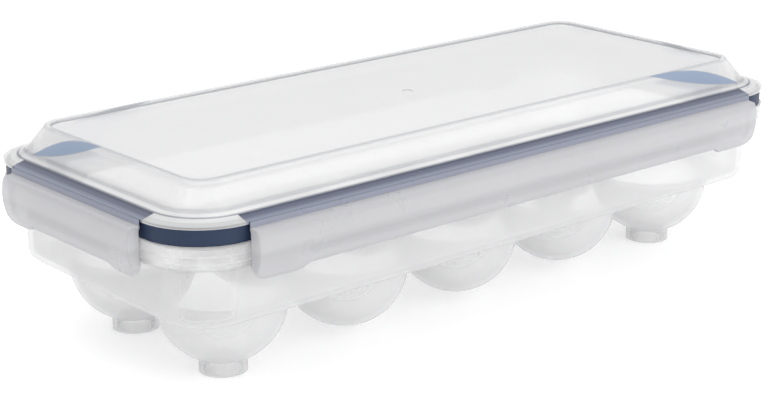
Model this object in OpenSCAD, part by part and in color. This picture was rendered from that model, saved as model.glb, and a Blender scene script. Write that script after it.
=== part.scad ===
// Egg keeper: a tray with two rows of egg cups on ring feet, a lid that lifts off,
// a seal ring under the lid's rim, and four flip latches on living hinges.
// Millimetres. +X runs along the length, +Y to the back and +Z up. The origin is the
// middle of the tray, on the surface that the feet stand on.
// Swept outlines are drawn as [d, z]: d is measured outwards from the tray wall's
// outside, and z upwards from the feet.

/* [Egg cups] */
// Distance from one egg to the next
cup_pitch = 50; // [49:0.5:56]
// Egg cups along the length
cup_columns = 5; // [3:1:7]
// Egg cups across the width
cup_rows = 2; // [2:1:4]
// Outside radius of a cup
cup_r = 21.35; // [18:0.05:22]
// Plastic thickness of a cup
cup_wall = 1.5; // [1:0.1:2]
// Rounding of a cup's mouth
cup_mouth_round = 1.2; // [0.6:0.1:1.4]
// How far a cup's centre lies below the underside of the tray's floor
cup_drop = 1; // [0.5:0.1:4]

/* [Feet] */
// Outside radius of a ring foot
foot_r = 7.85; // [5:0.05:12]
// Thickness of a foot's ring
foot_wall = 1.6; // [1:0.1:3]
// How far the feet stand out below the cups
foot_drop = 3.15; // [2:0.05:8]

/* [Tray walls] */
// From the last cup's centre to the outside of the end wall
end_margin = 30; // [28:0.5:40]
// From the outer row's centres to the outside of the long wall
side_margin = 28; // [27:0.5:40]
// Outside radius of the tray's upright corners
corner_r = 16; // [13:0.5:24]
// Thickness of the tray's walls and floor
tray_wall = 1.8; // [1.2:0.1:2.4]
// Rounding where the walls meet the floor
bottom_round = 4; // [3:0.1:5]
// Height of the tray from the floor's underside to the rim's top
tray_depth = 28.7; // [22:0.1:50]

/* [Tray rim] */
// How far the rim stands out from the wall
rim_reach = 6.2; // [5.4:0.1:6.6]
// Height of the rim's plain outer band
rim_band = 2.8; // [2:0.1:4]
// Height of the two narrow steps below the band, together
rim_steps = 5.2; // [4:0.1:6]
// How far each step is set in from the one above
rim_step_in = 0.7; // [0.4:0.1:0.9]
// Plastic thickness of the rim's top and of its hanging edge
rim_wall = 1.8; // [1.4:0.1:2.2]
// How far a locking ledge stands out from the rim
ledge_reach = 1.4; // [0.8:0.1:1.5]
// Thickness of a locking ledge at its root
ledge_t = 2.2; // [1.4:0.1:2.6]
// Bevel along the nose of a locking ledge
ledge_bevel = 0.6; // [0.3:0.1:0.7]
// Fall of a locking ledge's top towards its nose
ledge_fall = 0.3; // [0.1:0.1:0.4]

/* [Seal] */
// Height of the seal ring
seal_h = 5.25; // [3:0.05:7]
// Width of the seal ring
seal_w = 4.8; // [4:0.1:5.2]
// How far the seal's outside is set in from the rim's edge
seal_inset = 0.7; // [0.4:0.1:1.2]
// Thickness of each of the seal's two lips
seal_lip = 1.4; // [1:0.1:1.8]
// Depth of the groove between the seal's lips
seal_groove = 2; // [1:0.1:2.6]
// Width of the seal's spine, which sits in the lid
spine_w = 1.8; // [1:0.1:2.4]
// Height of the seal's spine
spine_h = 1.2; // [0.8:0.1:1.6]

/* [Lid] */
// Thickness of the lid's panel and slopes
lid_t = 1.5; // [1:0.1:2]
// Height of the lid's edge band
lid_band = 0.8; // [0.6:0.1:1.4]
// Width of the lid's bevelled edge
lid_bevel = 4.6; // [4:0.1:5]
// Rise of the lid's bevelled edge
lid_bevel_rise = 1.3; // [1:0.1:2]
// Width of the shelf from the bevel to the foot of the slope
lid_shelf = 2.5; // [1.5:0.1:5]
// Rise of that shelf
lid_shelf_rise = 1.1; // [0.6:0.1:2]
// Width of the lid's slope, from its foot to the middle of the lip
slope_run = 7.5; // [5:0.1:10]
// Rise of the slope, from its foot to the panel
slope_rise = 7; // [3:0.1:12]
// Radius of the rounded lip around the panel
lip_r = 1.2; // [0.8:0.1:1.8]
// Thickness of the skirt that centres the lid in the tray
skirt_t = 1.3; // [1:0.1:1.8]
// How far the skirt reaches below the tray's rim
skirt_reach = 3.2; // [2:0.1:8]
// Radius of the moulding gate's dimple in the panel
gate_r = 1.8; // [1:0.1:3]
// Depth of that dimple
gate_depth = 0.4; // [0.2:0.1:0.8]

/* [Latches] */
// How far a latch's grip stands out beyond the rim's edge
latch_reach = 4.9; // [4.7:0.1:5.6]
// Plastic thickness of a latch
latch_t = 1.6; // [1.2:0.1:2]
// Height of a latch from its hinge to its lowest edge
latch_h = 18; // [17:0.1:22]
// Radius of the curve down a latch's face
grip_r = 20; // [18:0.5:30]
// How far below the hinge a latch's face bulges most
grip_drop = 7.8; // [7:0.1:9]
// Thickness of a latch's end walls
latch_end_t = 1.8; // [1:0.1:3]
// Width of the finger tabs on the front and back latches
front_tab_w = 19; // [12:0.5:24]
// Width of the finger tabs on the end latches
side_tab_w = 12.5; // [10:0.5:16]
// How much deeper the finger tabs reach than the edge between them
tab_drop = 1.8; // [1:0.1:2.4]
// Rounding of a finger tab's outer corner
tab_round = 4.5; // [3:0.1:6]
// Thickness of the hook that closes under the tray's ledge
hook_h = 1.6; // [1:0.1:2.4]
// How far the ends of a latch pass the start of the rim's corner
latch_overrun = -0.5; // [-4:0.1:1]
// Fall of the hook's top and of its underside towards its tip
hook_fall = 0.2; // [0.1:0.1:0.4]
// Height of the inturned lip along a latch's lower edge
lip_h = 0.6; // [0.4:0.1:1]
// Thickness of a latch where its hinge joins it
root_t = 0.6; // [0.5:0.05:1]
// Thickness of the living hinge's film
film_t = 0.4; // [0.3:0.05:0.6]
// Width of the living hinge's film
film_w = 1; // [0.8:0.1:1.4]
// How far the film's top lies below the edge of the bevel
film_drop = 0.1; // [0.05:0.05:0.3]
// How far the film stops short of a latch's ends
hinge_end_gap = 3; // [2:0.5:8]

/* [Clearances] */
// Between the seal and the tray's rim
seal_gap = 0.15; // [0.1:0.05:0.5]
// Between the lid's skirt and the tray's wall
skirt_gap = 0.5; // [0.3:0.1:1]
// Between the seal's spine and its groove
spine_gap = 0.1; // [0.05:0.05:0.2]
// Between a latch's hook and the locking ledge
hook_gap = 0.25; // [0.2:0.05:0.5]
// Between a latch's end walls and the lid's edge
end_wall_gap = 0.8; // [0.6:0.1:1.6]
// Between a latch's lower lip and the tray's rim
lip_gap = 0.5; // [0.4:0.1:1]
// Between the living hinge's film and the latch's root
film_gap = 0.15; // [0.1:0.05:0.3]

/* [Hidden] */
$fn = 64;
// Small overlap that joins two solids of one piece
lap = 0.1;

// Levels, from the feet upwards
cup_centre_z = foot_drop + cup_r;
floor_z = cup_centre_z + cup_drop;
floor_top_z = floor_z + tray_wall;
rim_top_z = floor_z + tray_depth;
band_z = rim_top_z - rim_band;
rim_low_z = band_z - rim_steps;
seal_z = rim_top_z + seal_gap;
lid_z = seal_z + seal_h;
bevel_z = lid_z + lid_band;
slope_foot_z = bevel_z + lid_bevel_rise + lid_shelf_rise;
panel_z = slope_foot_z + slope_rise;
film_z = bevel_z - film_drop;
shoulder_z = film_z - latch_t;
grip_z = film_z - grip_drop;
latch_low_z = film_z - latch_h;

// Outline of the tray wall's outside
half_x = (cup_columns - 1) / 2 * cup_pitch + end_margin;
half_y = (cup_rows - 1) / 2 * cup_pitch + side_margin;

// Places across a side, outwards from the wall's outside
skirt_d = -tray_wall - skirt_gap;
slope_foot_d = rim_reach - lid_bevel - lid_shelf;
lip_d = slope_foot_d - slope_run;
ledge_d = rim_reach + ledge_reach;
seal_out_d = rim_reach - seal_inset;
root_d = rim_reach + film_w + film_gap;
grip_d = rim_reach + latch_reach;
shoulder_d = grip_edge(shoulder_z) - latch_t;
end_wall_d = rim_reach + end_wall_gap;
lip_in_d = rim_reach + lip_gap;

// Outside of a latch's curved face at height z
function grip_edge(z) = grip_d - grip_r + sqrt(grip_r * grip_r - (z - grip_z) * (z - grip_z));

// Half-lengths of the straight stretch that each latch follows
front_half = half_x - corner_r + latch_overrun;
side_half = half_y - corner_r + latch_overrun;

// Flat plate with rounded corners, its outline d outside the tray wall
module rounded_plate(d, z, t) {
    x = half_x + d;
    y = half_y + d;
    r = corner_r + d;
    translate([0, 0, z])
        linear_extrude(t)
            union() {
                square([2 * x, 2 * (y - r)], center = true);
                square([2 * (x - r), 2 * y], center = true);
                for (sx = [-1, 1], sy = [-1, 1])
                    translate([sx * (x - r), sy * (y - r)])
                        circle(r);
            }
}

// Straight length of a [d, z] outline on the side that faces angle a
module along_side(a, half_length) {
    reach = a % 180 == 0 ? half_x : half_y;
    rotate([0, 0, a])
        translate([reach, 0, 0])
            rotate([90, 0, 0])
                linear_extrude(2 * half_length, center = true)
                    children();
}

// Closed ring of a [d, z] outline all round the tray
module around_tray() {
    for (a = [0, 180])
        along_side(a, half_y - corner_r)
            children();
    for (a = [90, 270])
        along_side(a, half_x - corner_r)
            children();
    for (i = [0:3]) {
        sx = i == 0 || i == 3 ? 1 : -1;
        sy = i < 2 ? 1 : -1;
        translate([sx * (half_x - corner_r), sy * (half_y - corner_r), 0])
            rotate([0, 0, 90 * i])
                rotate_extrude(angle = 90)
                    translate([corner_r, 0])
                        children();
    }
}

// Puts a copy at each cup's centre line
module at_cups() {
    for (i = [0:cup_columns - 1], j = [0:cup_rows - 1])
        translate([
            (i - (cup_columns - 1) / 2) * cup_pitch,
            (j - (cup_rows - 1) / 2) * cup_pitch,
            0
        ])
            children();
}

// Puts a copy at each corner cup's centre line
module at_corner_cups() {
    for (sx = [-1, 1], sy = [-1, 1])
        translate([
            sx * (cup_columns - 1) / 2 * cup_pitch,
            sy * (cup_rows - 1) / 2 * cup_pitch,
            0
        ])
            children();
}

// Tray wall with its rounded bottom edge, and the rim that turns down outside it:
// a plain band above two steps, with a channel behind them
module tray_outline() {
    round_z = floor_z + bottom_round;
    first_d = rim_reach - rim_step_in;
    second_d = first_d - rim_step_in;
    middle_z = band_z - rim_steps / 2;
    translate([-tray_wall, round_z])
        square([tray_wall, rim_top_z - round_z]);
    intersection() {
        translate([-bottom_round, floor_z])
            square(bottom_round);
        translate([-bottom_round, round_z])
            difference() {
                circle(bottom_round);
                circle(bottom_round - tray_wall);
            }
    }
    difference() {
        polygon([
            [-tray_wall / 2, rim_top_z],
            [rim_reach, rim_top_z],
            [rim_reach, band_z],
            [first_d, band_z - rim_step_in],
            [first_d, middle_z],
            [second_d, middle_z - rim_step_in],
            [second_d, rim_low_z],
            [-tray_wall / 2, rim_low_z]
        ]);
        translate([0, rim_low_z - 1])
            square([second_d - rim_wall, rim_top_z - rim_wall - rim_low_z + 1]);
    }
}

// Locking ledge that a latch's hook closes under
module ledge_outline() {
    root = rim_reach - 2 * rim_step_in - rim_wall / 2;
    under_z = band_z - ledge_t;
    polygon([
        [root, band_z],
        [ledge_d - ledge_bevel, band_z - ledge_fall],
        [ledge_d, band_z - ledge_fall - ledge_bevel],
        [ledge_d, under_z + ledge_bevel],
        [ledge_d - ledge_bevel, under_z],
        [root, under_z]
    ]);
}

// Space inside one cup, with a rounded mouth
module cup_hollow() {
    r = cup_r - cup_wall;
    m = cup_mouth_round;
    rotate_extrude()
        union() {
            translate([0, cup_centre_z])
                intersection() {
                    circle(r);
                    translate([0, -r])
                        square([r, r]);
                }
            translate([0, cup_centre_z])
                square([r, floor_top_z - cup_centre_z + 1]);
            difference() {
                translate([0, floor_top_z - m])
                    square([r + m, m + 1]);
                translate([r + m, floor_top_z - m])
                    circle(m);
            }
        }
}

// Ring foot, up to where its outside meets the cup that it carries
module foot() {
    meet_z = cup_centre_z - sqrt(cup_r * cup_r - foot_r * foot_r);
    difference() {
        cylinder(h = meet_z + cup_wall, r = foot_r);
        translate([0, 0, -1])
            cylinder(h = meet_z + cup_wall + 2, r = foot_r - foot_wall);
    }
}

module tray() {
    color([0.87, 0.89, 0.91])
        difference() {
            union() {
                around_tray()
                    tray_outline();
                rounded_plate(-bottom_round, floor_z, tray_wall);
                for (a = [90, 270])
                    along_side(a, front_half - front_tab_w)
                        ledge_outline();
                for (a = [0, 180])
                    along_side(a, side_half - side_tab_w)
                        ledge_outline();
                intersection() {
                    at_cups()
                        translate([0, 0, cup_centre_z])
                            sphere(cup_r);
                    translate([-half_x, -half_y, 0])
                        cube([2 * half_x, 2 * half_y, floor_z + tray_wall / 2]);
                }
                at_corner_cups()
                    foot();
            }
            at_cups()
                cup_hollow();
        }
}

// Lid edge, slope, lip and skirt
module lid_outline() {
    skirt_in_d = skirt_d - skirt_t;
    foot = [slope_foot_d, slope_foot_z];
    reach = norm([slope_run, slope_rise]);
    // Angle of the slope's outside, which touches the rounded lip
    a = atan2(slope_rise, -slope_run) - asin(lip_r / reach);
    touch = foot + sqrt(reach * reach - lip_r * lip_r) * [cos(a), sin(a)];
    // The slope's underside runs parallel to its outside
    under = foot - lid_t * [sin(a), -cos(a)];
    under_top = under + (panel_z - lid_t - under[1]) / sin(a) * [cos(a), sin(a)];
    under_low = under + (skirt_in_d - under[0]) / cos(a) * [cos(a), sin(a)];
    polygon([
        [rim_reach, lid_z],
        [rim_reach, bevel_z],
        [rim_reach - lid_bevel, slope_foot_z - lid_shelf_rise],
        foot,
        touch,
        [lip_d, panel_z],
        [lip_d, panel_z - lid_t],
        under_top,
        under_low,
        [skirt_in_d, rim_top_z - skirt_reach],
        [skirt_d, rim_top_z - skirt_reach],
        [skirt_d, lid_z]
    ]);
    translate([lip_d, panel_z])
        circle(lip_r);
}

module lid() {
    color([0.93, 0.94, 0.95])
        difference() {
            union() {
                around_tray()
                    difference() {
                        lid_outline();
                        spine_outline(spine_gap);
                    }
                rounded_plate(lip_d, panel_z - lid_t, lid_t);
            }
            translate([0, 0, panel_z - gate_depth])
                cylinder(h = 1, r = gate_r);
        }
}

// Spine of the seal, and with a gap the groove in the lid that holds it
module spine_outline(gap) {
    middle_d = seal_out_d - seal_w / 2;
    translate([middle_d - spine_w / 2 - gap, lid_z - 0.5])
        square([spine_w + 2 * gap, spine_h + 0.5 + gap]);
}

module gasket() {
    groove_w = seal_w - 2 * seal_lip;
    color([0.16, 0.21, 0.38])
        around_tray() {
            difference() {
                translate([seal_out_d - seal_w, seal_z])
                    square([seal_w, seal_h]);
                translate([seal_out_d - seal_lip - groove_w, seal_z - 1])
                    square([groove_w, seal_groove + 1]);
            }
            spine_outline(0);
        }
}

// Curved face of a latch, with the shelf that carries it and the lip below
module latch_outline() {
    translate([grip_d - grip_r, grip_z])
        difference() {
            circle(grip_r);
            circle(grip_r - latch_t);
            translate([-grip_r - 1, shoulder_z - grip_z])
                square(2 * grip_r + 2);
            translate([-grip_r - 1, -2 * grip_r - 2 - grip_z + latch_low_z])
                square(2 * grip_r + 2);
            translate([-2 * grip_r, -grip_r - 1])
                square([2 * grip_r, 2 * grip_r + 2]);
        }
    shelf_outline();
    lip_out_d = grip_edge(latch_low_z);
    polygon([
        [lip_out_d - latch_t / 2, latch_low_z + latch_t],
        [lip_in_d, latch_low_z + lip_h],
        [lip_in_d, latch_low_z],
        [lip_out_d, latch_low_z],
        [grip_edge(latch_low_z + latch_t) - lap, latch_low_z + latch_t]
    ]);
}

// Shelf from the hinge out to the rounded shoulder of a latch
module shelf_outline() {
    polygon([
        [root_d, film_z - root_t],
        [root_d, film_z],
        [shoulder_d, film_z],
        [shoulder_d, shoulder_z]
    ]);
    translate([shoulder_d, shoulder_z])
        circle(latch_t);
}

// Wall that closes each end of a latch
module end_wall_outline() {
    intersection() {
        translate([grip_d - grip_r, grip_z])
            circle(grip_r);
        translate([end_wall_d, latch_low_z])
            square([latch_reach, shoulder_z - latch_low_z]);
    }
    polygon([
        [end_wall_d, shoulder_z - lap],
        [end_wall_d, film_z - latch_t + root_t],
        [shoulder_d, film_z - root_t],
        [shoulder_d, shoulder_z - lap]
    ]);
    shelf_outline();
}

// Hook along the inside of a latch, which closes under the locking ledge
module hook_outline() {
    top_z = band_z - ledge_t - hook_gap;
    tip_d = ledge_d + hook_gap;
    wall_d = grip_edge(top_z - hook_h) - latch_t / 2;
    polygon([
        [wall_d, top_z],
        [tip_d, top_z - hook_fall],
        [tip_d, top_z - hook_h + hook_fall],
        [wall_d, top_z - hook_h]
    ]);
}

// Front view of a latch: round lower corners and a shallow notch between finger tabs
module latch_front_view(half, tab_w) {
    notch_half = half - tab_w;
    difference() {
        union() {
            translate([-half, latch_low_z + tab_round])
                square([2 * half, latch_h]);
            translate([-half + tab_round, latch_low_z])
                square([2 * (half - tab_round), 2 * tab_round]);
            for (s = [-1, 1])
                translate([s * (half - tab_round), latch_low_z + tab_round])
                    circle(tab_round);
        }
        translate([-notch_half, latch_low_z - 1])
            square([2 * notch_half, tab_drop + 1]);
    }
}

module latch(a, half, tab_w) {
    reach = a % 180 == 0 ? half_x : half_y;
    color([0.80, 0.82, 0.86])
        intersection() {
            union() {
                along_side(a, half)
                    latch_outline();
                along_side(a, half - tab_w)
                    hook_outline();
                for (s = [-1, 1])
                    rotate([0, 0, a])
                        translate([0, s * (half - latch_end_t / 2), 0])
                            rotate([0, 0, -a])
                                along_side(a, latch_end_t / 2)
                                    end_wall_outline();
            }
            rotate([0, 0, a])
                translate([reach, 0, 0])
                    rotate([90, 0, 90])
                        linear_extrude(2 * (rim_reach + latch_reach))
                            latch_front_view(half, tab_w);
        }
}

// Living hinge: the film that joins a latch to the lid's edge
module hinge(a, half) {
    color([0.80, 0.82, 0.86])
        along_side(a, half - hinge_end_gap)
            translate([rim_reach, film_z - film_t])
                square([film_w, film_t]);
}

module latch_front() { latch(270, front_half, front_tab_w); }
module latch_back() { latch(90, front_half, front_tab_w); }
module latch_left() { latch(180, side_half, side_tab_w); }
module latch_right() { latch(0, side_half, side_tab_w); }
module hinge_front() { hinge(270, front_half); }
module hinge_back() { hinge(90, front_half); }
module hinge_left() { hinge(180, side_half); }
module hinge_right() { hinge(0, side_half); }

tray();
lid();
gasket();
latch_front();
latch_back();
latch_left();
latch_right();
hinge_front();
hinge_back();
hinge_left();
hinge_right();
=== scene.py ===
"""Egg keeper with four flip latches, dressed for a studio photograph."""

import math

import bmesh
import bpy
from mathutils import Matrix, Vector


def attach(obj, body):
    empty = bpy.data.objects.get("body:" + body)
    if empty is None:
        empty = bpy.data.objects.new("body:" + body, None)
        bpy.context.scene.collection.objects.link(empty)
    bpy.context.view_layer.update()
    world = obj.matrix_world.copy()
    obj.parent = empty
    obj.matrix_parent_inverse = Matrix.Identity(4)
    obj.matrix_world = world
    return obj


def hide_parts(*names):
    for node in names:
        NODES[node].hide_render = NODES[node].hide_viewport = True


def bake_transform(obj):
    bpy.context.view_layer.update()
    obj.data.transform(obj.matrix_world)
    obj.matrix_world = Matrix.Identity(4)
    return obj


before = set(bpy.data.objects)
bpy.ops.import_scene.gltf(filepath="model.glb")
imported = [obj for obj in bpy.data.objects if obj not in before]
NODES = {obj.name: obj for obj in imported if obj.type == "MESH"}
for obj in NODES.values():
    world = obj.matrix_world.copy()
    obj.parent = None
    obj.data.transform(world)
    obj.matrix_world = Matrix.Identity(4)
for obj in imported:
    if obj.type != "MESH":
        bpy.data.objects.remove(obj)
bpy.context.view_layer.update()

# The camera stands to the left of the front, a little above the lid
CAMERA_AT = Vector((-0.42436, -0.48329, 0.23106))
CAMERA_AZIMUTH = math.radians(-40.535)
CAMERA_ELEVATION = math.radians(17.390)
CAMERA_ROLL = math.radians(-0.260)
FOCAL_PIXELS = 1892.57
PHOTO_WIDTH = 768
SENSOR_MM = 36.0
NEAR_CLIP = 0.01

# Studio: brightness of the surround, and the floor's half-size in metres, grey, roughness and glow
SURROUND = 0.78
FLOOR_REACH, FLOOR_GREY, FLOOR_ROUGH, FLOOR_GLOW = 6.0, 0.90, 0.9, 0.3

# Lamps: place and side of the square in metres, and power in watts
LAMP_TARGET = (0, 0, 0.03)
LAMPS = {
    "key": ((-0.2, 0.1, 1.2), 1.2, 6.3),
    "fill": ((0.2, -1.1, 0.45), 0.9, 3.8),
}

MM = 0.001

# Outside of the tray's wall in mm: half its size, and its corner radius
HALF_X, HALF_Y, CORNER_R = 130.0, 53.0, 16.0

# Each side's turn about Z, then in mm its wall's distance, latch half-length and finger tab
SIDES = {
    "right": (0.0, HALF_X, 36.5, 12.5),
    "back": (0.5 * math.pi, HALF_Y, 113.5, 19.0),
    "left": (math.pi, HALF_X, 36.5, 12.5),
    "front": (-0.5 * math.pi, HALF_Y, 113.5, 19.0),
}

# Latch sizes in mm: d runs outwards from the tray's wall, z upwards from the feet
GRIP_MIDDLE_D, GRIP_MIDDLE_Z, GRIP_R = -8.9, 52.5, 20.0
GRIP_TOP_Z = 56.6
GRIP_STEPS = 14
LATCH_T = 1.35
LATCH_LOW_Z = 42.3
NOTCH_Z = 44.1
TAB_ROUND = 4.5
TAB_SLOPE = 1.6
TAB_LIP_D = 6.75
LIP_REACH = 0.3
FOOT_RISE = 0.55
INSIDE_RISE = 1.5
END_WALL_T = 1.8
END_WALL_D = 7.0
END_ROUND = 0.6
SHELF_Z, STRIP_D = 58.2, 7.3

# Parts of a latch's outline as (d, z): hinge to grip, and inside the shoulder back to the hinge
STRIP_AND_SHELF = [
    (6.72, 60.32), (7.0, 60.22), (7.1, 59.9), (7.1, 59.0), (7.2, 58.62), (7.5, 58.44),
    (8.2, 58.38), (9.1, 58.3), (9.72, 58.12), (10.15, 57.75), (10.4, 57.2),
]
INSIDE_TOP = [(6.95, 57.3), (6.6, 57.7), (6.5, 58.3), (6.5, 59.9), (6.56, 60.25)]
INSIDE_CORNER_BACK, INSIDE_CORNER_Z = 0.1, 57.0

# Lower edge, as steps inwards from the face and up, and lip, as steps outwards from its tip and up
FOOT_STEPS = [(0.12, 0.2), (0.45, 0.0)]
LIP_STEPS = [(0.3, 0.0), (0.0, 0.25), (0.1, 0.6)]

# Hook along a latch's inside: outline as (d, z), gap to the tabs, and how far its ends draw back
HOOK = [(9.75, 48.95), (8.0, 48.85), (7.87, 48.7), (7.87, 47.7), (8.0, 47.55), (9.95, 47.35)]
HOOK_TIP_D = 9.0
HOOK_TAB_GAP = 1.5
HOOK_END_BACK = 0.5
HOOK_STEPS = 8

# Living hinge in mm
EDGE_D = 6.2
HINGE_D = 6.8
FILM_TOP_Z, FILM_LOW_Z = 60.32, 59.97
FILM_IN_LID, FILM_IN_LATCH = 0.15, 0.05
FILM_WAIST = 0.09
FILM_END_GAP = 0.8
FILM_BANDS, FILM_SPANS = 12, 40

# Edges sharper than this, in degrees, are shaded as edges
LATCH_SHARP, FILM_SHARP = 38, 50

# Plastics: pale, deep and edge colours, alpha face on and edge on, roughness, edge radius in metres
PLASTICS = {
    "tray_plastic": (
        (0.92, 0.92, 0.92), (0.86, 0.86, 0.87), (0.68, 0.68, 0.69), 0.24, 0.66, 0.20, 0.0005
    ),
    "lid_plastic": (
        (0.88, 0.88, 0.88), (0.84, 0.84, 0.85), (0.78, 0.78, 0.79), 0.40, 0.85, 0.14, 0.0005
    ),
    "latch_plastic": (
        (0.64, 0.64, 0.66), (0.60, 0.60, 0.62), (0.52, 0.52, 0.55), 0.60, 0.92, 0.28, 0.0004
    ),
}
PLASTIC_IOR = 1.49
PLASTIC_BUMP = 0.06
TINT_GRAIN, GLOSS_GRAIN, FINE_GRAIN = 18.0, 60.0, 700.0
BUMP_HEIGHT = 0.0002

# Silicone of the seal
SEAL_PALE, SEAL_DEEP = (0.012, 0.030, 0.075), (0.008, 0.021, 0.058)
SEAL_SMOOTHEST, SEAL_ROUGHEST = 0.38, 0.55
SEAL_TINT_GRAIN, SEAL_GLOSS_GRAIN = 40.0, 150.0
SEAL_IOR = 1.42
SEAL_BUMP = 0.12
SEAL_EDGE = 0.0004

# Sockets of a mix node that take its two colours, and the one that gives the result
FIRST_COLOUR, SECOND_COLOUR, MIXED_COLOUR = 6, 7, 2

CREASE_D = 1.5
SLOPE_FOOT_D, SLOPE_WIDTH = -0.9, 7.5

# Painted shade lines along the lid's crease and edges, where the plastic refracts its dark surroundings:
# place outwards from the wall and half-width in mm, colour and share
LID_SHADE_LINES = {
    "crease above the edge band": (1.45, 0.60, (0.10, 0.11, 0.16), 0.9),
    "foot of the slope": (SLOPE_FOOT_D, 0.9, (0.42, 0.43, 0.46), 0.85),
    "inside of the lip": (-9.6, 0.7, (0.40, 0.41, 0.43), 0.95),
    "outside of the lip": (-7.7, 0.9, (0.52, 0.53, 0.55), 0.8),
}
LINE_ALPHA = 0.95

# Lens patches of painted refraction, the seal's image in the lid's end slopes and long slopes: start and
# length along the slope, in mm
END_LENS = (37.0, 32.5)
LONG_LENS = (117.6, 44.0)
LENS_TOP = 0.95
LENS_LOW_BEND, LENS_HIGH_BEND = 1.6, 3.0
LENS_SOFT = 0.05
LENS_SHARE = 0.95
REFRACTED_SEAL_BLUE = (0.23, 0.30, 0.42)

# The strip above a latch's grip, where the navy seal shows through: colours outwards from the
# crease, places in mm where one fades into the next, and how fast its ends fade, per mm
STRIP_NEAR = (0.038, 0.048, 0.088)
STRIP_MIDDLE = (0.110, 0.122, 0.185)
STRIP_FAR = (0.25, 0.275, 0.35)
STRIP_ON_LATCH = (0.27, 0.285, 0.36)
TO_MIDDLE_FROM, TO_MIDDLE_D = 2.2, 3.6
TO_FAR_FROM = 4.0
STRIP_SIDE_FADE, STRIP_CREASE_FADE = 2.0, 4.0
STRIP_SHARE = 0.97
STRIP_LOW_Z, STRIP_FULL_Z = 58.55, 58.8
STRIP_FADE_D = 7.15

# Shade of the rim and hook behind a latch's lower half: heights in mm, share and colour
SHADOW_FULL_Z, SHADOW_TOP_Z = 50.6, 52.4
SHADOW_SHARE = 0.45
SHADOW_GREY = (0.44, 0.44, 0.46)

# Painted shade on the ring feet and the cups' lower parts, darker towards the floor: heights in mm, share
# and colour
FEET_FULL_Z, FEET_TOP_Z = 3.2, 4.2
FEET_SHARE = 0.9
FEET_SHADE_GREY = (0.42, 0.42, 0.43)
CUPS_FULL_Z, CUPS_TOP_Z = 3.0, 24.0
CUPS_SHARE = 0.5
CUPS_SHADE_GREY = (0.74, 0.74, 0.75)


def make_camera():
    """A camera with the photograph's place, direction and field of view."""
    data = bpy.data.cameras.new("camera")
    data.sensor_fit = "HORIZONTAL"
    data.sensor_width = SENSOR_MM
    data.lens = FOCAL_PIXELS / PHOTO_WIDTH * SENSOR_MM
    data.clip_start = NEAR_CLIP
    camera = bpy.data.objects.new("camera", data)
    bpy.context.scene.collection.objects.link(camera)
    level = math.cos(CAMERA_ELEVATION)
    back = Vector(
        (
            math.sin(CAMERA_AZIMUTH) * level,
            -math.cos(CAMERA_AZIMUTH) * level,
            math.sin(CAMERA_ELEVATION),
        )
    )
    right = Vector((0, 0, 1)).cross(back).normalized()
    up = back.cross(right)
    turn = Matrix((right, up, back)).transposed()
    turn = turn @ Matrix.Rotation(CAMERA_ROLL, 3, "Z")
    camera.matrix_world = Matrix.Translation(CAMERA_AT) @ turn.to_4x4()
    bpy.context.scene.camera = camera


def make_light(name, at, size, power):
    """A soft square lamp that points at the box."""
    data = bpy.data.lights.new(name, "AREA")
    data.shape = "SQUARE"
    data.size = size
    data.energy = power
    lamp = bpy.data.objects.new(name, data)
    bpy.context.scene.collection.objects.link(lamp)
    lamp.location = at
    lamp.rotation_euler = (Vector(LAMP_TARGET) - Vector(at)).to_track_quat("-Z", "Y").to_euler()


def make_studio():
    """A pale floor, a bright even surround and soft lamps."""
    bpy.context.scene.view_settings.view_transform = "Standard"
    world = bpy.data.worlds.new("studio")
    world.use_nodes = True
    world.node_tree.nodes["Background"].inputs["Color"].default_value = (1, 1, 1, 1)
    world.node_tree.nodes["Background"].inputs["Strength"].default_value = SURROUND
    bpy.context.scene.world = world
    mesh = bpy.data.meshes.new("floor")
    corners = [(FLOOR_REACH * x, FLOOR_REACH * y, 0) for x, y in ((-1, -1), (1, -1), (1, 1), (-1, 1))]
    mesh.from_pydata(corners, [], [(0, 1, 2, 3)])
    floor = bpy.data.objects.new("floor", mesh)
    bpy.context.scene.collection.objects.link(floor)
    material = bpy.data.materials.new("floor")
    material.use_nodes = True
    shader = material.node_tree.nodes["Principled BSDF"]
    shader.inputs["Base Color"].default_value = (FLOOR_GREY, FLOOR_GREY, FLOOR_GREY, 1)
    shader.inputs["Roughness"].default_value = FLOOR_ROUGH
    shader.inputs["Emission Color"].default_value = (1, 1, 1, 1)
    shader.inputs["Emission Strength"].default_value = FLOOR_GLOW
    mesh.materials.append(material)
    for name, (at, size, power) in LAMPS.items():
        make_light(name, at, size, power)


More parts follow.
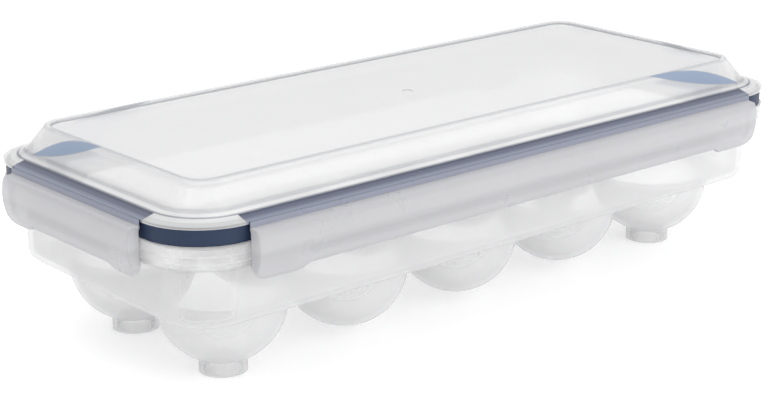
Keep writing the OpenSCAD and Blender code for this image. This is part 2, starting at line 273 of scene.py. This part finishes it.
class Shade:
    """Small helper for building a node material."""

    def __init__(self, name):
        self.material = bpy.data.materials.new(name)
        self.material.use_nodes = True
        self.tree = self.material.node_tree
        self.shader = self.tree.nodes["Principled BSDF"]
        self.place = self.tree.nodes.new("ShaderNodeTexCoord").outputs["Object"]

    def node(self, kind, **values):
        made = self.tree.nodes.new(kind)
        for key, value in values.items():
            setattr(made, key, value)
        return made

    def link(self, source, target):
        self.tree.links.new(source, target)

    def noise(self, scale, detail=4.0, rough=0.55):
        made = self.node("ShaderNodeTexNoise")
        made.inputs["Scale"].default_value = scale
        made.inputs["Detail"].default_value = detail
        made.inputs["Roughness"].default_value = rough
        self.link(self.place, made.inputs["Vector"])
        return made.outputs["Fac"]

    def ramp(self, source, low, high, start=0.0, end=1.0):
        """Maps start..end to low..high."""
        made = self.node("ShaderNodeMapRange")
        made.inputs["From Min"].default_value = start
        made.inputs["From Max"].default_value = end
        made.inputs["To Min"].default_value = low
        made.inputs["To Max"].default_value = high
        self.link(source, made.inputs["Value"])
        return made.outputs["Result"]

    def mix_colour(self, factor, first, second):
        """first and second are colours, or sockets that give one."""
        made = self.node("ShaderNodeMix", data_type="RGBA")
        self.link(factor, made.inputs["Factor"])
        for socket, colour in ((made.inputs[FIRST_COLOUR], first), (made.inputs[SECOND_COLOUR], second)):
            if isinstance(colour, tuple):
                socket.default_value = (*colour, 1)
            else:
                self.link(colour, socket)
        return made.outputs[MIXED_COLOUR]

    def facing(self, blend):
        made = self.node("ShaderNodeLayerWeight")
        made.inputs["Blend"].default_value = blend
        return made.outputs["Facing"]

    def math(self, operation, first, second=0.0, clamp=False):
        """first and second are numbers or sockets."""
        made = self.node("ShaderNodeMath", operation=operation, use_clamp=clamp)
        for socket, value in zip(made.inputs, (first, second)):
            if isinstance(value, (int, float)):
                socket.default_value = value
            else:
                self.link(value, socket)
        return made.outputs["Value"]

    def axes(self):
        made = self.node("ShaderNodeSeparateXYZ")
        self.link(self.place, made.inputs["Vector"])
        return made.outputs["X"], made.outputs["Y"], made.outputs["Z"]

    def outwards(self):
        """Distance in mm outwards from the tray's rounded outline, and how far past each straight side."""
        x, y, _ = self.axes()
        parts = []
        for axis, half in ((x, HALF_X), (y, HALF_Y)):
            size = self.math("MULTIPLY", self.math("ABSOLUTE", axis), 1 / MM)
            parts.append(self.math("MAXIMUM", self.math("SUBTRACT", size, half - CORNER_R), 0.0))
        squares = [self.math("MULTIPLY", part, part) for part in parts]
        length = self.math("SQRT", self.math("ADD", squares[0], squares[1]))
        return self.math("SUBTRACT", length, CORNER_R), parts

    def line(self, distance, at, half_width):
        """1 at a distance, and 0 from half_width away."""
        away = self.math("ABSOLUTE", self.math("SUBTRACT", distance, at))
        return self.math("SUBTRACT", 1.0, self.math("DIVIDE", away, half_width), clamp=True)

    def soft_edges(self, radius, height, strength):
        """Rounds every edge a little and adds a fine surface bump."""
        edge = self.node("ShaderNodeBevel", samples=4)
        edge.inputs["Radius"].default_value = radius
        made = self.node("ShaderNodeBump")
        made.inputs["Strength"].default_value = strength
        made.inputs["Distance"].default_value = BUMP_HEIGHT
        self.link(height, made.inputs["Height"])
        self.link(edge.outputs["Normal"], made.inputs["Normal"])
        self.link(made.outputs["Normal"], self.shader.inputs["Normal"])


def frosted_plastic(name, pale, deep, edge, clear, dense, rough, radius):
    """Translucent polypropylene: clearest face on, denser along its edges, and greyer there, partly from
    the longer path through the plastic and partly as painted shade for the dark surroundings the edges
    refract.

    Gives the shade with its colour and alpha sockets, for marks to be added.
    """
    shade = Shade(name)
    face = shade.mix_colour(shade.noise(TINT_GRAIN), pale, deep)
    rim = shade.ramp(shade.facing(0.5), 0.0, 1.0, 0.25, 0.95)
    colour = shade.mix_colour(rim, face, edge)
    alpha = shade.ramp(shade.facing(0.5), clear, dense, 0.1, 1.0)
    gloss = shade.ramp(shade.noise(GLOSS_GRAIN), rough - 0.05, rough + 0.07)
    shade.link(gloss, shade.shader.inputs["Roughness"])
    shade.shader.inputs["IOR"].default_value = PLASTIC_IOR
    shade.soft_edges(radius, shade.noise(FINE_GRAIN, 2.0), PLASTIC_BUMP)
    return shade, colour, alpha


def make_plastic(name, marks):
    """One of the plastics, with its marks added."""
    shade, colour, alpha = frosted_plastic(name, *PLASTICS[name])
    colour, alpha = marks(shade, colour, alpha)
    shade.link(colour, shade.shader.inputs["Base Color"])
    shade.link(alpha, shade.shader.inputs["Alpha"])
    return shade.material


def lens(shade, along, start, length, slope):
    """Lens-shaped patch of the lid's slope, painted with the seal's image as the slope refracts it."""
    u = shade.math("DIVIDE", shade.math("SUBTRACT", start, along), length, clamp=True)
    low = shade.math("MULTIPLY", shade.math("POWER", u, LENS_LOW_BEND), LENS_TOP)
    rest = shade.math("POWER", shade.math("SUBTRACT", 1.0, u), LENS_HIGH_BEND)
    high = shade.math("MULTIPLY", shade.math("SUBTRACT", 1.0, rest), LENS_TOP)
    above = shade.math("DIVIDE", shade.math("SUBTRACT", slope, low), LENS_SOFT, clamp=True)
    below = shade.math("DIVIDE", shade.math("SUBTRACT", high, slope), LENS_SOFT, clamp=True)
    return shade.math("MULTIPLY", above, below)


def seal_strip(shade, out, parts, colour, alpha):
    """Thin stretch that each latch hangs from: the navy seal shows through it."""
    in_x = shade.math("MULTIPLY", parts[0], STRIP_SIDE_FADE, clamp=True)
    in_y = shade.math("MULTIPLY", parts[1], STRIP_SIDE_FADE, clamp=True)
    straight = shade.math("SUBTRACT", 1.0, shade.math("MULTIPLY", in_x, in_y), clamp=True)
    from_crease = shade.math("SUBTRACT", out, CREASE_D)
    from_crease = shade.math("MULTIPLY", from_crease, STRIP_CREASE_FADE, clamp=True)
    strip = shade.math("MULTIPLY", from_crease, straight)
    to_middle = shade.ramp(out, 0.0, 1.0, TO_MIDDLE_FROM, TO_MIDDLE_D)
    deep = shade.mix_colour(to_middle, STRIP_NEAR, STRIP_MIDDLE)
    deep = shade.mix_colour(shade.ramp(out, 0.0, 1.0, TO_FAR_FROM, EDGE_D), deep, STRIP_FAR)
    colour = shade.mix_colour(strip, colour, deep)
    return colour, shade.math("MAXIMUM", alpha, shade.math("MULTIPLY", strip, STRIP_SHARE))


def slope_patches(shade, colour, alpha):
    """Painted refraction: patches of the slopes where the seal's image shows, at opposite corners."""
    x, y, _ = shade.axes()
    lenses = []
    for across, half, along, ends in ((x, HALF_X, y, END_LENS), (y, HALF_Y, x, LONG_LENS)):
        size = shade.math("MULTIPLY", shade.math("ABSOLUTE", across), 1 / MM)
        size = shade.math("SUBTRACT", size, half)
        slope = shade.math("DIVIDE", shade.math("SUBTRACT", SLOPE_FOOT_D, size), SLOPE_WIDTH)
        place = shade.math("MULTIPLY", along, shade.math("SIGN", across))
        place = shade.math("MULTIPLY", place, -1 / MM)
        lenses.append(lens(shade, place, *ends, slope))
    patch = shade.math("MULTIPLY", shade.math("MAXIMUM", *lenses), LENS_SHARE)
    return shade.mix_colour(patch, colour, REFRACTED_SEAL_BLUE), shade.math("MAXIMUM", alpha, patch)


def lid_marks(shade, colour, alpha):
    """The seal seen through the lid's plastic, painted shade lines along its crease and edges, and the
    seal's painted refraction in the slopes.
    """
    out, parts = shade.outwards()
    colour, alpha = seal_strip(shade, out, parts, colour, alpha)
    for at, width, tone, share in LID_SHADE_LINES.values():
        mark = shade.math("MULTIPLY", shade.line(out, at, width), share)
        colour = shade.mix_colour(mark, colour, tone)
        alpha = shade.math("MAXIMUM", alpha, shade.math("MULTIPLY", mark, LINE_ALPHA))
    return slope_patches(shade, colour, alpha)


def tray_painted_shade(shade, colour, alpha):
    """Painted shade: the ring feet and the cups grow greyer towards the floor, where less light reaches
    them.
    """
    _, _, z = shade.axes()
    feet = shade.ramp(z, 1.0, 0.0, FEET_FULL_Z * MM, FEET_TOP_Z * MM)
    colour = shade.mix_colour(shade.math("MULTIPLY", feet, FEET_SHARE), colour, FEET_SHADE_GREY)
    cups = shade.ramp(z, CUPS_SHARE, 0.0, CUPS_FULL_Z * MM, CUPS_TOP_Z * MM)
    colour = shade.mix_colour(cups, colour, CUPS_SHADE_GREY)
    return colour, alpha


def latch_marks(shade, colour, alpha):
    """The thin strip down to a latch's shelf is darker: the seal lies behind it."""
    _, _, z = shade.axes()
    out, _ = shade.outwards()
    high = shade.ramp(z, 0.0, 1.0, STRIP_LOW_Z * MM, STRIP_FULL_Z * MM)
    near = shade.math("SUBTRACT", 1.0, shade.ramp(out, 0.0, 1.0, STRIP_FADE_D, STRIP_D))
    strip = shade.math("MULTIPLY", high, near)
    colour = shade.mix_colour(strip, colour, STRIP_ON_LATCH)
    alpha = shade.math("MAXIMUM", alpha, shade.math("MULTIPLY", strip, STRIP_SHARE))
    # The rim and hook behind the grip show through its lower half as a soft shade
    shadow = shade.ramp(z, SHADOW_SHARE, 0.0, SHADOW_FULL_Z * MM, SHADOW_TOP_Z * MM)
    colour = shade.mix_colour(shadow, colour, SHADOW_GREY)
    return colour, alpha


def navy_silicone():
    """Satin silicone rubber with a fine bloom."""
    shade = Shade("navy_silicone")
    tint = shade.mix_colour(shade.noise(SEAL_TINT_GRAIN), SEAL_PALE, SEAL_DEEP)
    shade.link(tint, shade.shader.inputs["Base Color"])
    gloss = shade.ramp(shade.noise(SEAL_GLOSS_GRAIN), SEAL_SMOOTHEST, SEAL_ROUGHEST)
    shade.link(gloss, shade.shader.inputs["Roughness"])
    shade.shader.inputs["IOR"].default_value = SEAL_IOR
    shade.soft_edges(SEAL_EDGE, shade.noise(FINE_GRAIN, 3.0), SEAL_BUMP)
    return shade.material


def paint(name, material):
    """Gives a CAD node that keeps its shape a better material."""
    for slot in NODES[name].material_slots:
        slot.material = material


def spread(first, last, steps):
    """Evenly spaced values from first to last, both included."""
    return [first + (last - first) * i / steps for i in range(steps + 1)]


def grip_d(z, inset=0.0):
    """Place of a latch's curved face at height z, or of the surface inset behind it."""
    return GRIP_MIDDLE_D + math.sqrt((GRIP_R - inset) ** 2 - (z - GRIP_MIDDLE_Z) ** 2)


def smooth(low, high, value):
    """0 below low, 1 above high, and smooth between them."""
    t = min(1.0, max(0.0, (value - low) / (high - low)))
    return t * t * (3 - 2 * t)


def latch_section(low, lip_d, closed, trim):
    """Closed outline of a latch as (d, z): strip, shelf, shoulder, grip face, lip and inside."""
    foot = low + FOOT_RISE
    outer = STRIP_AND_SHELF + [(grip_d(z), z) for z in spread(GRIP_TOP_Z, foot, GRIP_STEPS)]
    outer += [(grip_d(foot) - back, low + up) for back, up in FOOT_STEPS]
    outer = [(d - trim, z - trim if z > SHELF_Z and d > STRIP_D else z) for d, z in outer]
    inner = [(lip_d + out, low + up) for out, up in LIP_STEPS]
    for z in spread(low + INSIDE_RISE, GRIP_TOP_Z, GRIP_STEPS):
        inner.append((END_WALL_D if closed else grip_d(z, LATCH_T), z))
    inner.append((inner[-1][0] - INSIDE_CORNER_BACK, INSIDE_CORNER_Z))
    return outer + inner + INSIDE_TOP


def latch_stations(half, tab):
    """Places along a latch, closer together where its shape changes."""
    inner = half - tab
    wall = half - END_WALL_T
    spots = {0.0}
    spots.update(spread(0.0, inner * 0.97, 12))
    spots.update(spread(inner - TAB_SLOPE, inner + TAB_SLOPE, 12))
    spots.update(spread(inner + 2.0, half - 6.0, 3))
    spots.update(half - TAB_ROUND * math.cos(angle) for angle in spread(0.0, 0.5 * math.pi, 10))
    spots.update(half - END_ROUND * (1 - math.sin(angle)) for angle in spread(0.0, 0.5 * math.pi, 6))
    spots.update((wall - 0.3, wall, wall + 0.1))
    spots = sorted(round(x, 4) for x in spots)
    kept = [x for i, x in enumerate(spots) if i == 0 or x - spots[i - 1] > 0.01]
    return [-x for x in reversed(kept[1:])] + kept


def add_loft(mesh, sections):
    """Skins closed sections, given as lists of points, and caps both ends."""
    rows = [[mesh.verts.new(point) for point in section] for section in sections]
    count = len(rows[0])
    for a, b in zip(rows, rows[1:]):
        for i in range(count):
            k = (i + 1) % count
            mesh.faces.new((a[i], a[k], b[k], b[i]))
    mesh.faces.new(rows[0])
    mesh.faces.new(list(reversed(rows[-1])))


def finish_piece(name, mesh, turn, material, sharp):
    """Turns a bmesh drawn for the right side, in mm, into an object on its own side."""
    bmesh.ops.recalc_face_normals(mesh, faces=mesh.faces)
    data = bpy.data.meshes.new(name)
    mesh.to_mesh(data)
    mesh.free()
    data.transform(Matrix.Rotation(turn, 4, "Z") @ Matrix.Scale(MM, 4))
    data.materials.append(material)
    data.shade_smooth()
    data.set_sharp_from_angle(angle=math.radians(sharp))
    piece = bpy.data.objects.new(name, data)
    bpy.context.scene.collection.objects.link(piece)
    return piece


def make_latch(side, material):
    """Latch with a rounded shoulder, curved grip, finger tabs, closed ends and hook."""
    turn, reach, half, tab = SIDES[side]
    mesh = bmesh.new()
    sections = []
    for u in latch_stations(half, tab):
        far = abs(u)
        in_tab = smooth(half - tab - TAB_SLOPE, half - tab + TAB_SLOPE, far)
        low = NOTCH_Z + (LATCH_LOW_Z - NOTCH_Z) * in_tab
        over = far - (half - TAB_ROUND)
        if over > 0:
            low += TAB_ROUND - math.sqrt(max(0.0, TAB_ROUND**2 - over**2))
        plain_lip = grip_d(low + FOOT_RISE) - LATCH_T - LIP_REACH
        lip_d = plain_lip + (TAB_LIP_D - plain_lip) * in_tab
        closed = far >= half - END_WALL_T
        edge = far - (half - END_ROUND)
        trim = END_ROUND - math.sqrt(max(0.0, END_ROUND**2 - edge**2)) if edge > 0 else 0.0
        outline = latch_section(low, lip_d, closed, trim)
        sections.append([(reach + d, u, z) for d, z in outline])
    add_loft(mesh, sections)
    span = half - tab - HOOK_TAB_GAP
    rows = []
    for u in spread(-span, span, HOOK_STEPS):
        back = HOOK_END_BACK if abs(u) > 0.99 * span else 0.0
        rows.append([(reach + d + (back if d < HOOK_TIP_D else 0.0), u, z) for d, z in HOOK])
    add_loft(mesh, rows)
    latch = finish_piece("latch_grip_" + side, mesh, turn, material, LATCH_SHARP)
    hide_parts("latch_" + side)
    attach(latch, "latch_" + side)


def make_film(side, material):
    """Living hinge: a thin waisted strip between the lid's edge and each latch."""
    turn, reach, half, _ = SIDES[side]
    first, last = EDGE_D - FILM_IN_LID, HINGE_D + FILM_IN_LATCH
    rows = []
    for share in spread(0.0, 1.0, FILM_BANDS):
        waist = FILM_WAIST * math.sin(math.pi * share)
        d = first + (last - first) * share
        rows.append((reach + d, FILM_TOP_Z - waist, FILM_LOW_Z + waist))
    mesh = bmesh.new()
    sections = []
    for u in spread(-half + FILM_END_GAP, half - FILM_END_GAP, FILM_SPANS):
        top = [(x, u, high) for x, high, _ in rows]
        under = [(x, u, low) for x, _, low in reversed(rows)]
        sections.append(top + under)
    add_loft(mesh, sections)
    film = finish_piece("film_" + side, mesh, turn, material, FILM_SHARP)
    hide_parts("hinge_" + side)
    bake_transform(film)


make_camera()
make_studio()
paint("tray", make_plastic("tray_plastic", tray_painted_shade))
paint("lid", make_plastic("lid_plastic", lid_marks))
paint("gasket", navy_silicone())
latch_plastic = make_plastic("latch_plastic", latch_marks)
for side in SIDES:
    make_latch(side, latch_plastic)
    make_film(side, latch_plastic)
